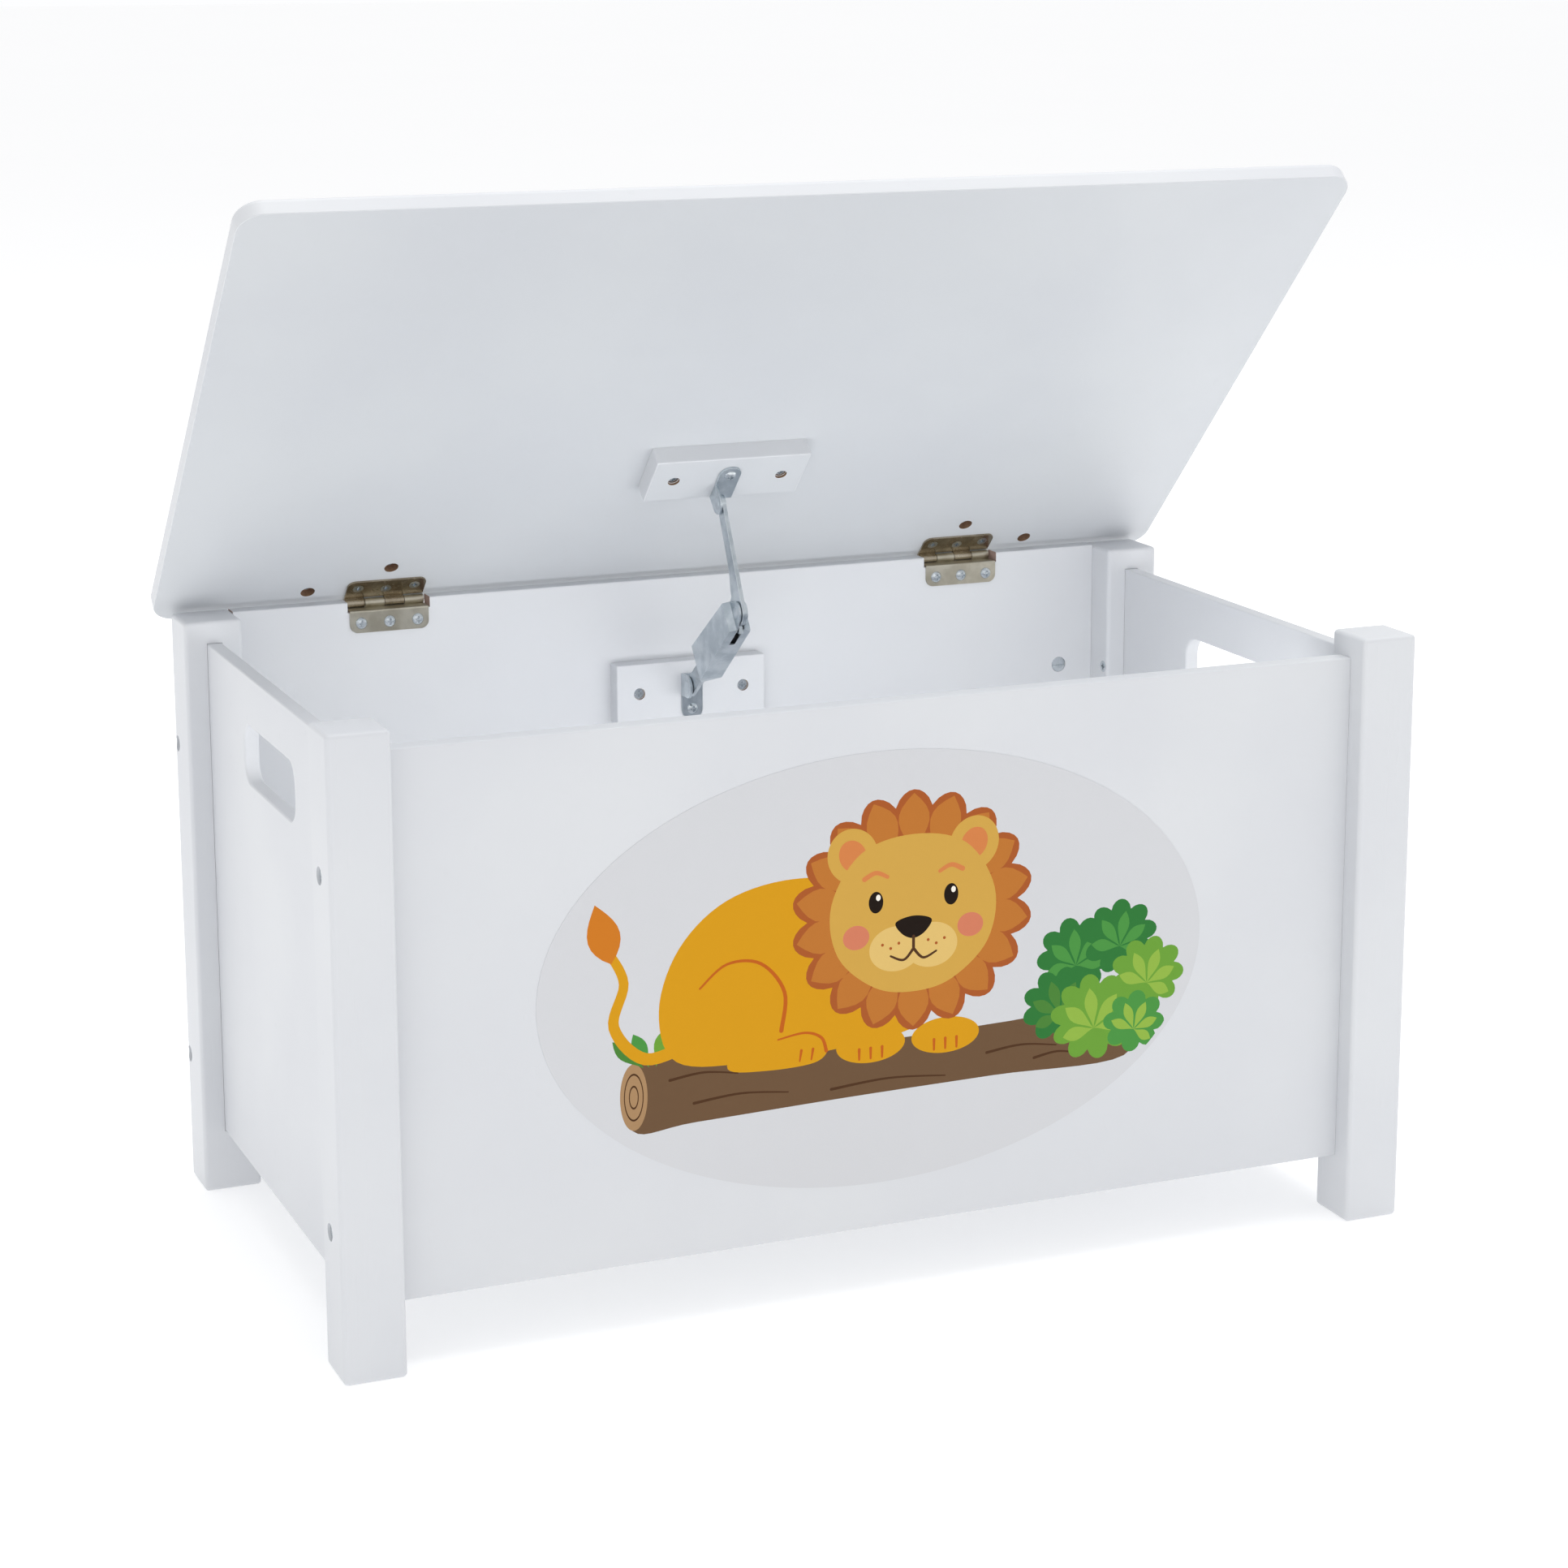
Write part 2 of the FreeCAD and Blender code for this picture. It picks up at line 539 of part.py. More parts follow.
def bracket_screw():
    return pan_screw(*BRACKET_SCREW).translated(V(0, BRACKET_SCREW_Y, PLATE_T))


def pivot_rivet():
    """Rivet through the ear and the arm or tail beside it."""
    return rivet(-PLATE_W / 2, ARM_X + ARM_T + 0.3).translated(V(0, PIVOT_FROM_END, EAR_REACH))


def rivet(x0, x1):
    """A rivet along X whose heads seat at x0 and x1."""
    heads = []
    for x, outward in ((x0, -X_AXIS), (x1, X_AXIS)):
        ball = Part.makeSphere(7.0, V(x, 0, 0) - outward * 5.7)
        heads.append(ball.common(rod(V(x, 0, 0), 4.0, 1.3, outward)))
    return fuse(heads + [rod(V(x0 - 0.5, 0, 0), RIVET_R, x1 - x0 + 1.0, X_AXIS)])


# ---- Lid stay --------------------------------------------------------------------------------
LOWER_PIVOT = V(0, BACK_Y - BLOCK_T - EAR_REACH, LOWER_PIVOT_Z)
KNEE_PIVOT = V(0, KNEE_Y, KNEE_Z)
UPPER_PIVOT = opened(Part.Vertex(V(0, lid_y(UPPER_PIVOT_V), LID_SEAT - BLOCK_T - EAR_REACH))).Point
HOUSING_LENGTH = (LOWER_PIVOT - KNEE_PIVOT).Length
ARM_LENGTH = (UPPER_PIVOT - KNEE_PIVOT).Length
STAY_X = ARM_X + ARM_T / 2                      # middle plane of the stay


def in_housing(shape):
    """Place a shape drawn with the knee at the origin and +Z down the housing; +Y is its front."""
    return aimed(shape, KNEE_PIVOT + X_AXIS * STAY_X, LOWER_PIVOT - KNEE_PIVOT)


def in_arm(shape):
    """Place a shape drawn with the knee at the origin and +Z up the arm; +Y is its rear edge."""
    return aimed(shape, KNEE_PIVOT + X_AXIS * STAY_X, UPPER_PIVOT - KNEE_PIVOT)


def widths(profile):
    """A solid whose half width in X follows (x, z) points, symmetric about x = 0."""
    ring = [V(x, -40, z) for x, z in profile] + [V(-x, -40, z) for x, z in reversed(profile)]
    return Part.Face(Part.makePolygon(ring + ring[:1])).extrude(V(0, 80, 0))


def stay_housing():
    """Folded sheet box: side walls stepped in to two ears, a slotted front and a flat tail."""
    half, t, near = HOUSING_W / 2, HOUSING_T, ARM_T / 2 + 0.3
    ear_r, tail_r, floor, end = 7.0, 6.0, 66.0, HOUSING_LENGTH
    side = prism([(9.4, 4), (11, 68), (tail_r, 84), (tail_r, end), (-tail_r, end), (-tail_r, 84),
                  (-13, 75), (-10, 4), (-ear_r, 0), (ear_r, 0)], -half, half)
    side = fuse([side, rod(V(-half, 0, 0), ear_r, HOUSING_W, X_AXIS),
                 rod(V(-half, 0, end), tail_r, HOUSING_W, X_AXIS)])
    outer = widths([(near + t, -10), (near + t, 4.4), (half, 6.4), (half, 70),
                    (ARM_T / 2, 84), (ARM_T / 2, end + 9)])
    inner = widths([(near, -11), (near, 5.6), (half - t, 7.6), (half - t, floor)])
    room = prism([(20, -11), (20, 4), (9.4 - t, 4), (11 - t, 68), (-30, 68), (-30, -11)], -half, half)
    slot = box(-1.8, 1.8, 5, 15, 3, 24)
    body = side.common(outer).cut(inner.common(room)).cut(slot)
    body = body.cut(rod(V(-10, 0, 0), RIVET_R + 0.02, 20, X_AXIS))
    return in_housing(body.cut(rod(V(-10, 0, end), RIVET_R + 0.05, 20, X_AXIS)))


def stay_arm():
    """Flat strip with a round brake end and a loose upper hole."""
    x0, x1 = -ARM_T / 2, ARM_T / 2
    strip = prism([(-4.6, ARM_LENGTH), (4.0, ARM_LENGTH), (3.0, 27), (6.0, 16), (6.0, 0), (-8.2, 0),
                   (-7.6, 10)], x0, x1)
    top = rod(V(x0, -0.3, ARM_LENGTH), 5.0, ARM_T, X_AXIS)
    hub = rod(V(x0, 0, 0), HUB_R, ARM_T, X_AXIS)
    rim = [V(x0, DISC_R * math.sin(math.radians(turn)), DISC_R * math.cos(math.radians(turn)))
           for turn in (BRAKE_FROM, (BRAKE_FROM + BRAKE_TO) / 2, BRAKE_TO)]
    centre = V(x0, 0, 0)
    edge = Part.Wire([Part.makeLine(centre, rim[0]), Part.Arc(*rim).toShape(),
                      Part.makeLine(rim[2], centre)])
    brake = Part.Face(edge).extrude(V(ARM_T, 0, 0))
    body = fuse([strip, top, hub, brake])
    body = body.cut(rod(V(-5, 0, 0), RIVET_R + 0.05, 10, X_AXIS))
    return in_arm(body.cut(rod(V(-5, 0, ARM_LENGTH), RIVET_R + 0.7, 10, X_AXIS)))


def stay_brake_shoe():
    """Nylon block that the spring presses on the arm's round end."""
    room = HOUSING_W / 2 - HOUSING_T - 0.2
    shoe = fuse([box(-room, room, -9, 7, 18, 32), box(-room + 1.8, room - 1.8, -2.8, 2.8, 10, 19)])
    return in_housing(shoe.cut(rod(V(-9, 0, 0), DISC_R + 0.3, 18, X_AXIS)))


def stay_spring():
    wire, radius, turns, start, end = 0.7, 4.0, 6, 33.0, 63.0
    path = Part.makeHelix((end - start) / turns, end - start, radius)
    ring = Part.Wire(Part.makeCircle(wire, V(radius, 0, 0), Y_AXIS))
    coil = Part.Wire(path.Edges).makePipeShell([ring], True, True)
    return in_housing(Part.makeCompound([coil.translated(V(0, -1, start))]))


def stay_knee_rivet():
    reach = ARM_T / 2 + 0.3 + HOUSING_T
    return rivet(-reach, reach).translated(KNEE_PIVOT + X_AXIS * STAY_X)


# ---- Nodes -----------------------------------------------------------------------------------
def nodes():
    yield "post_front_left", post(-1, -1)
    yield "post_front_right", post(1, -1)
    yield "post_rear_left", post(-1, 1)
    yield "post_rear_right", post(1, 1)
    yield "front_panel", front_panel()
    yield "back_panel", back_panel()
    yield "left_side_panel", end_panel(-1)
    yield "right_side_panel", end_panel(1)
    yield "base_board", base_board()
    yield "front_picture", front_picture()
    yield "panel_bolts", panel_bolts()
    yield "barrel_nuts", barrel_nuts()
    yield "side_panel_screws", side_panel_screws()
    yield "lid", opened(lid_closed())
    yield "lid_rear_screws", opened(lid_rear_screws_closed())
    for name, x in (("left", -HINGE_X), ("right", HINGE_X)):
        yield name + "_hinge_box_leaf", hinge_box_leaf(x)
        yield name + "_hinge_lid_leaf", opened(hinge_lid_leaf_closed(x))
        yield name + "_hinge_pin", hinge_pin(x)
    yield "hinge_box_screws", hinge_box_screws()
    yield "hinge_lid_screws", opened(hinge_lid_screws_closed())
    yield "stay_lower_block", on_wall(block(LOWER_FLAT_END - BRACKET_SCREW_Y - LOWER_BLOCK_Z), LOWER_BLOCK_Z)
    yield "stay_upper_block", opened(under_lid(block(UPPER_FLAT_END + BRACKET_SCREW_Y - UPPER_BLOCK_V),
                                               UPPER_BLOCK_V))
    yield "lower_block_screws", on_wall(block_screws(), LOWER_BLOCK_Z)
    yield "upper_block_screws", opened(under_lid(block_screws(), UPPER_BLOCK_V))
    yield "stay_lower_bracket", as_lower(bracket())
    yield "stay_upper_bracket", as_upper(bracket())
    yield "lower_bracket_screw", as_lower(bracket_screw())
    yield "upper_bracket_screw", as_upper(bracket_screw())
    yield "stay_lower_rivet", as_lower(pivot_rivet())
    yield "stay_upper_rivet", as_upper(pivot_rivet())
    yield "stay_knee_rivet", stay_knee_rivet()
    yield "stay_housing", stay_housing()
    yield "stay_arm", stay_arm()
    yield "stay_brake_shoe", stay_brake_shoe()
    yield "stay_spring", stay_spring()


os.makedirs("parts", exist_ok=True)
for node, shape in nodes():
    placed = shape.translated(V(0, ORIGIN_SHIFT, 0))
    print(f"{node:24s} {len(placed.Solids)} solid(s), valid {placed.isValid()}, {placed.Volume:.0f} mm3")
    placed.exportStep(f"parts/{node}.step")
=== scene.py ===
# %% [markdown]
# # A wooden toy box, finished piece by piece
# The box comes to this notebook as a packed mechanical model: every board, screw, hinge leaf and
# stay link is already the right size and hangs on the right joint. What is left is its looks.
# We could model the whole box again, but then nothing would guarantee that it still opens. So the
# model is loaded as a fixed frame, and each step either paints a piece or puts a finer copy over it.

# %% Load the frame
import json
import math

import bmesh
import bpy
from mathutils import Matrix, Vector, geometry


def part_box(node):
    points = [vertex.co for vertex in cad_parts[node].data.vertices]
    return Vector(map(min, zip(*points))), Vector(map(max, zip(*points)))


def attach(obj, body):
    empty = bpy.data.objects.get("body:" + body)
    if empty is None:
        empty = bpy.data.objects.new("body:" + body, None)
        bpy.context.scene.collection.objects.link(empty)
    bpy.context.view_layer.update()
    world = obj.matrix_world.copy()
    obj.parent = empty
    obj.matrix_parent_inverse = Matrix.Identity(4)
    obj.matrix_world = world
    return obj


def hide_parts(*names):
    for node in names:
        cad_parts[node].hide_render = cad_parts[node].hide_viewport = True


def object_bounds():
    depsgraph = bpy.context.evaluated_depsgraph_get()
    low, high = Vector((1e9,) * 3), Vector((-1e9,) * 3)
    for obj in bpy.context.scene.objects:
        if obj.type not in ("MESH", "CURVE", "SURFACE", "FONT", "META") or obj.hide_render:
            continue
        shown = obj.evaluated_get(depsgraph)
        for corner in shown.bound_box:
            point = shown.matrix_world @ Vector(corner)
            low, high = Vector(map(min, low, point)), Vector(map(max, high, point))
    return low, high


MM = 0.001
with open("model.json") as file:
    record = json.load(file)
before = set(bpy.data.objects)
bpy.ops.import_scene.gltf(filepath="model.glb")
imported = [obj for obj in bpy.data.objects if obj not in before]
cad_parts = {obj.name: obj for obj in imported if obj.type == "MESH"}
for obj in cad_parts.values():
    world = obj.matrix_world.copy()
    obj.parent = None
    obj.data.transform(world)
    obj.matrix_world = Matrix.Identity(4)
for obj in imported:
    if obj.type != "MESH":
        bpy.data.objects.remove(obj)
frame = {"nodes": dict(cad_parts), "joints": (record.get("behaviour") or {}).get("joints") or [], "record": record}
nodes = frame["nodes"]
cad_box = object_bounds()
bodies = frame["record"]["behaviour"]["bodies"]
body_of = {name: body for body, names in bodies.items() for name in names}
joints = {joint["name"]: joint for joint in frame["joints"]}

# %% [markdown]
# ## Where we stand
# We stand in front of the box, a little above it and to its left, with a long lens, so that the
# front board stays nearly square. A short lens from close by would make the nearest post loom.
# The height that we aim at is a share of the box's own, so it follows the model's size.

# %% Camera
CAMERA_TURN, CAMERA_RISE, CAMERA_TILT = 22.52, 12.0, -0.14
CAMERA_DISTANCE, LENS, SENSOR, LENS_DROP = 2.07, 80.0, 36.0, -0.08

tall = cad_box[1].z - cad_box[0].z
aim = Vector((0.005, 0.0035, 0.536 * tall))
turn, rise = math.radians(CAMERA_TURN), math.radians(CAMERA_RISE)
back = Vector((-math.sin(turn) * math.cos(rise), -math.cos(turn) * math.cos(rise), math.sin(rise)))
camera = bpy.data.objects.new("camera", bpy.data.cameras.new("camera"))
camera.data.lens, camera.data.sensor_width = LENS, SENSOR
camera.data.shift_y = LENS_DROP
camera.data.clip_start, camera.data.clip_end = 0.05, 200.0
camera.location = aim + back * CAMERA_DISTANCE
level = (-back).to_track_quat("-Z", "Y").to_matrix().to_4x4()
camera.rotation_mode = "QUATERNION"
camera.rotation_quaternion = (level @ Matrix.Rotation(math.radians(CAMERA_TILT), 4, "Z")).to_quaternion()
bpy.context.scene.collection.objects.link(camera)
bpy.context.scene.camera = camera
print("camera at", [round(value, 3) for value in camera.location])

# %% [markdown]
# ## A white room for a white box
# White paint shows its shape only through small changes of grey, so it needs a soft, even light
# with a direction. Four things give it: a pale sky that turns white at the horizon, where it meets
# the floor without a line, large lamps over the left shoulder, in front and overhead, a low lamp
# inside the mouth of the box, and a pale floor that throws light up under the open lid.
# A single hard lamp would be simpler, but it would cut the lid's shadow across the front board.

# %% Sky, lamps and floor
SKY_RIM, SKY_TOP = 0.73, 0.63
RIM_ENDS, TOP_STARTS = 0.60, 0.85
HAZE_FULL, HAZE_GONE = 0.06, 0.22
FLOOR_SIZE, FLOOR_GLOW = 60.0, 0.34

bpy.context.scene.view_settings.view_transform = "Standard"
world = bpy.data.worlds.new("sky")
world.use_nodes = True
bpy.context.scene.world = world
sky, wires = world.node_tree.nodes, world.node_tree.links
sky.clear()
where = sky.new("ShaderNodeTexCoord")
parts = sky.new("ShaderNodeSeparateXYZ")
fade = sky.new("ShaderNodeMapRange")
fade.inputs["From Min"].default_value, fade.inputs["From Max"].default_value = RIM_ENDS, TOP_STARTS
fade.inputs["To Min"].default_value, fade.inputs["To Max"].default_value = SKY_RIM, SKY_TOP
glow = sky.new("ShaderNodeBackground")
glow.inputs["Color"].default_value = (0.985, 0.99, 1.0, 1.0)
end = sky.new("ShaderNodeOutputWorld")
haze = sky.new("ShaderNodeMapRange")
haze.inputs["From Min"].default_value, haze.inputs["From Max"].default_value = HAZE_FULL, HAZE_GONE
haze.inputs["To Min"].default_value, haze.inputs["To Max"].default_value = 1.0 - SKY_RIM, 0.0
total = sky.new("ShaderNodeMath")
wires.new(where.outputs["Generated"], parts.inputs[0])
wires.new(parts.outputs["Z"], fade.inputs["Value"])
wires.new(parts.outputs["Z"], haze.inputs["Value"])
wires.new(fade.outputs[0], total.inputs[0])
wires.new(haze.outputs[0], total.inputs[1])
wires.new(total.outputs[0], glow.inputs["Strength"])
wires.new(glow.outputs[0], end.inputs["Surface"])


def lamp(name, place, size, power, towards=aim):
    """A soft lamp, width by height in metres, that looks at the box or at a given point."""
    light = bpy.data.objects.new(name, bpy.data.lights.new(name, "AREA"))
    light.data.shape, light.data.energy = "RECTANGLE", power
    light.data.size, light.data.size_y = size
    light.location = place
    light.rotation_mode = "QUATERNION"
    light.rotation_quaternion = (Vector(towards) - Vector(place)).to_track_quat("-Z", "Y")
    light.visible_camera = False
    bpy.context.scene.collection.objects.link(light)
    return light


hinge_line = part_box("left_hinge_pin")[0]
lamp("key_lamp", (-2.4, -2.6, 3.0), (2.6, 2.6), 7.0)
lamp("front_lamp", (-0.9, -4.2, 1.5), (2.4, 1.6), 3.0)
lamp("top_lamp", (0.6, 0.4, 3.4), (3.0, 3.0), 66.0)
mouth_aim = (0.0, hinge_line.y, hinge_line.z - 0.07)
mouth = lamp("mouth_lamp", (0.0, -0.13, 0.26), (0.54, 0.12), 0.66, mouth_aim)
mouth.visible_glossy = False

floor_mesh = bpy.data.meshes.new("floor")
edge = FLOOR_SIZE / 2
rim_points = [(-edge, -edge, 0), (edge, -edge, 0), (edge, edge, 0), (-edge, edge, 0)]
floor_mesh.from_pydata(rim_points, [], [(0, 1, 2, 3)])
floor = bpy.data.objects.new("floor", floor_mesh)
bpy.context.scene.collection.objects.link(floor)
print("floor at", cad_box[0].z)

# %% [markdown]
# ## Writing shaders as sums
# A finish is a small formula: so much speckle, less of it in the hollows, a little more shine on
# the edges. Wired by hand, such a formula is a page of node calls that nobody can read back. So
# `Signal` wraps one output of a node, and adding or multiplying signals adds the Math nodes.
# `Finish` holds one material, and its `node` method makes every other kind of node.

# %% Signals and finishes
SHADER_WORDS = {"metallic": "Metallic", "ior": "IOR", "glow": "Emission Color",
                "glow_strength": "Emission Strength"}


class Signal:
    """A number that changes over a surface. Arithmetic on it adds Math nodes."""

    def __init__(self, finish, socket):
        self.finish = finish
        self.socket = socket

    def maths(self, operation, *values):
        return self.finish.node("Math", {"operation": operation}, dict(enumerate(values)))

    def __add__(self, other):
        return self.maths("ADD", self, other)

    def __radd__(self, other):
        return self.maths("ADD", other, self)

    def __sub__(self, other):
        return self.maths("SUBTRACT", self, other)

    def __mul__(self, other):
        return self.maths("MULTIPLY", self, other)

    def ramp(self, low, high):
        """0 below low, 1 above high, and smooth between them."""
        settings = {"interpolation_type": "SMOOTHSTEP"}
        return self.finish.node("MapRange", settings, {0: self, 1: low, 2: high, 3: 0.0, 4: 1.0})


class Finish:
    """One material, built from signals."""

    def __init__(self, name):
        self.material = bpy.data.materials.new(name)
        self.material.use_nodes = True
        self.tree = self.material.node_tree
        self.tree.nodes.clear()
        self.place = self.node("TexCoord", out="Object")

    def node(self, kind, settings=None, sockets=None, out=0):
        """Makes one node, sets it up, plugs its sockets and gives back one of its outputs."""
        made = self.tree.nodes.new("ShaderNode" + kind)
        for key, value in (settings or {}).items():
            setattr(made, key, value)
        for key, value in (sockets or {}).items():
            if isinstance(value, Signal):
                self.tree.links.new(value.socket, made.inputs[key])
            else:
                made.inputs[key].default_value = value
        return Signal(self, made.outputs[out]) if made.outputs else made

    def stretched(self, scale):
        """The place on the piece, in metres, times a scale for each direction."""
        return self.node("VectorMath", {"operation": "MULTIPLY"}, {0: self.place, 1: scale})

    def speckle(self, scale, detail=2.0, rough=0.5, place=None):
        """Cloudy noise from 0 to 1 with its middle at 0.5."""
        sockets = {"Vector": place or self.place, "Scale": scale, "Detail": detail, "Roughness": rough}
        return self.node("TexNoise", {"normalize": True}, sockets)

    def blend(self, mask, first, second):
        """A colour that goes from first to second as the mask goes from 0 to 1."""
        sockets = {0: mask, 6: first, 7: second}
        return self.node("Mix", {"data_type": "RGBA"}, sockets, out=2)

    def done(self, colour, roughness, height=None, **fixed):
        """Ends the material. height is in millimetres, and metallic or ior stay the same all over."""
        sockets = {"Base Color": colour, "Roughness": roughness}
        sockets |= {SHADER_WORDS[key]: value for key, value in fixed.items()}
        if height is not None:
            bump = {"Height": height, "Distance": MM, "Strength": 1.0}
            sockets["Normal"] = self.node("Bump", {}, bump)
        shader = self.node("BsdfPrincipled", {}, sockets)
        self.node("OutputMaterial", {}, {"Surface": shader})
        return self.material


def tone(code):
    """A colour written as on a paint chart, #RRGGBB, as the linear numbers that light works in."""
    values = [int(code[i:i + 2], 16) / 255 for i in (1, 3, 5)]
    return tuple(v / 12.92 if v < 0.04045 else ((v + 0.055) / 1.055) ** 2.4 for v in values) + (1.0,)


def floor_finish():
    finish = Finish("pale_floor")
    drift = finish.speckle(0.8)
    pale = finish.blend(drift, (0.90, 0.90, 0.905, 1), (0.92, 0.92, 0.92, 1))
    return finish.done(pale, 0.9, glow=(1.0, 1.0, 1.0, 1.0), glow_strength=FLOOR_GLOW)


floor.data.materials.append(floor_finish())
print("floor painted")

# %% [markdown]
# ## Satin white paint
# The boards are fibreboard and the posts are solid wood, all sprayed with satin water paint. Up
# close such paint isn't flat: it has a fine orange peel about a millimetre across, the sanding
# lines of the board still show through along its length, and its shine drifts from place to place.
# On posts the open grain of the wood telegraphs through as long thin hollows. A plain white shader
# would look like plastic, so all of these go in, each only a few hundredths of a millimetre deep.

# %% Paint
PAINT, PAINT_SHADE = tone("#DADCDF"), tone("#D6D8DC")
# A greyer copy of the white paint: painted shade for faces that look down when the lid is shut.
UNDERSIDE_SHADE, UNDERSIDE_SHADE_DARK = tone("#CED1D4"), tone("#CACDD1")


def satin_paint(name, along, grain=0.0, wear=0.0, coat=(PAINT, PAINT_SHADE)):
    """White paint. along is the board's long direction as x, y, z; grain adds wood pores."""
    finish = Finish(name)
    lines_scale = [25.0 if axis else 900.0 for axis in along]
    pores_scale = [14.0 if axis else 520.0 for axis in along]
    drift = finish.speckle(7.0, detail=3.0)
    peel = finish.speckle(850.0, detail=1.0)
    lines = finish.speckle(1.0, detail=3.0, place=finish.stretched(lines_scale))
    pores = finish.speckle(1.0, detail=2.0, place=finish.stretched(pores_scale)).ramp(0.60, 0.72)
    dust = finish.speckle(160.0, detail=0.0).ramp(0.78, 0.82)
    colour = finish.blend(drift.ramp(0.3, 0.7), *coat)
    if wear:
        thin = finish.speckle(240.0, detail=4.0, rough=0.7).ramp(0.66 - wear, 0.70 - wear)
        colour = finish.blend(thin * 0.8, colour, tone("#D9C58F"))
    rough = 0.36 + drift * 0.10 + peel * 0.05 + dust * 0.1
    height = peel * 0.020 + lines * 0.012 + dust * 0.03 - pores * (0.03 * grain)
    return finish.done(colour, rough, height, ior=1.48)


def raw_board(name, light, dark):
    """The bare fibre inside a drilled or sawn hole."""
    finish = Finish(name)
    fibres = finish.speckle(1100.0, detail=3.0, rough=0.7)
    clumps = finish.speckle(260.0, detail=2.0)
    colour = finish.blend(fibres * 0.7 + clumps * 0.3, dark, light)
    return finish.done(colour, 0.95, fibres * 0.25)


along_x, along_y, along_z = (1, 0, 0), (0, 1, 0), (0, 0, 1)
board_paint = satin_paint("board_paint", along_x)
side_paint = satin_paint("side_board_paint", along_y)
post_paint = satin_paint("post_paint", along_z, grain=1.0)
block_paint = satin_paint("block_paint", along_x, grain=1.0)
edge_paint = satin_paint("edge_paint", along_x)
# The same white paint, greyer: painted shade for the lid's underside and the upper stay block.
underside_shade_paint = satin_paint("painted_underside_shade", along_x, coat=(UNDERSIDE_SHADE, UNDERSIDE_SHADE_DARK))
chipped_paint = satin_paint("chipped_edge_paint", along_x, wear=0.09)
bare_fibre = raw_board("bare_fibreboard", tone("#A07F63"), tone("#5A4030"))
pale_fibre = raw_board("bare_fibreboard_edge", tone("#C9AFA6"), tone("#A28478"))
print("paints ready")

# %% [markdown]
# ## Metals
# Three platings sit on this box. Screws, bolts and the stay are zinc: a cold blue-grey with soft
# clouds where the bath left the film thicker. The hinges are nickel over steel, which is warmer; the
# brown in their colour is partly that warmth and partly a painted reflection of a brown room. The
# box leaves take a paler copy of the nickel as painted light, and the lid leaves and pins a darker
# copy as painted shade. Metal has no colour of its own under the shine, so the tint goes into the
# base colour of a fully metallic shader, and the rolling marks of the sheet are a fine bump in one
# direction.

# %% Zinc, nickel, spring wire and nylon


def plated(name, light, dark, rough, along=None, clouds=60.0, scratch=0.004):
    """Plated steel with clouds in its film and fine rolling lines along one direction."""
    finish = Finish(name)
    cloud = finish.speckle(clouds, detail=4.0, rough=0.6)
    spots = finish.speckle(clouds * 9, detail=2.0).ramp(0.62, 0.75)
    scale = [60.0 if along and axis else 1800.0 for axis in (along or (0, 0, 0))]
    lines = finish.speckle(1.0, detail=3.0, place=finish.stretched(scale))
    colour = finish.blend(cloud.ramp(0.35, 0.65), dark, light)
    shine = rough + cloud * 0.12 + spots * 0.12 + lines * 0.06
    return finish.done(colour, shine, lines * scratch + spots * 0.004, metallic=1.0)


zinc = plated("zinc_plate", tone("#D3DADF"), tone("#B4BEC5"), 0.24)
bright_zinc = plated("bright_zinc", tone("#E4E9EC"), tone("#CCD3D8"), 0.16, clouds=200.0)
# Lid leaves and pins: warm nickel with a painted brown reflection, darker as painted shade.
nickel = plated("nickel_plate", tone("#BDB3A0"), tone("#9C907C"), 0.16, along=along_x)
# Box leaves: a paler copy of the same nickel, as painted light.
painted_lit_nickel = plated("nickel_plate_painted_lit", tone("#D2CCBC"), tone("#BBB4A2"), 0.26, along=along_x)
wire = plated("spring_wire", tone("#7D7F83"), tone("#5C5F64"), 0.3, clouds=300.0)


def moulded_nylon():
    finish = Finish("dark_nylon")
    pores = finish.speckle(700.0, detail=2.0)
    dark = finish.blend(pores, tone("#1B1C1E"), tone("#2A2B2E"))
    return finish.done(dark, 0.45 + pores * 0.1, pores * 0.02)


nylon = moulded_nylon()
print("metals ready")

# %% [markdown]
# ## Eased edges
# No edge that a child can reach is left sharp: boards are sanded before painting, sheet steel is
# tumbled before plating, and the thin bright line along such an edge is what makes an object look
# real. The mechanical pieces have knife edges, so each gets a finer copy: its split points are
# welded, its flat faces merged, and a narrow bevel runs along every edge that turns sharply.
# The bevel has its own material, because paint is thinnest there and chips there first.

# %% Fine copies
SHARP_TURN, FLAT_TURN = math.radians(28), math.radians(0.4)
WELD = 0.002 * MM


def welded(mesh, merge):
    """One closed skin again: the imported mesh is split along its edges. merge joins flat faces."""
    plain = mesh.copy()
    for extra in [item.name for item in plain.attributes if item.name == "custom_normal"]:
        plain.attributes.remove(plain.attributes[extra])
    skin = bmesh.new()
    skin.from_mesh(plain)
    bpy.data.meshes.remove(plain)
    bmesh.ops.remove_doubles(skin, verts=skin.verts, dist=WELD)
    if merge:
        bmesh.ops.dissolve_limit(skin, angle_limit=FLAT_TURN, verts=skin.verts, edges=skin.edges)
    return skin


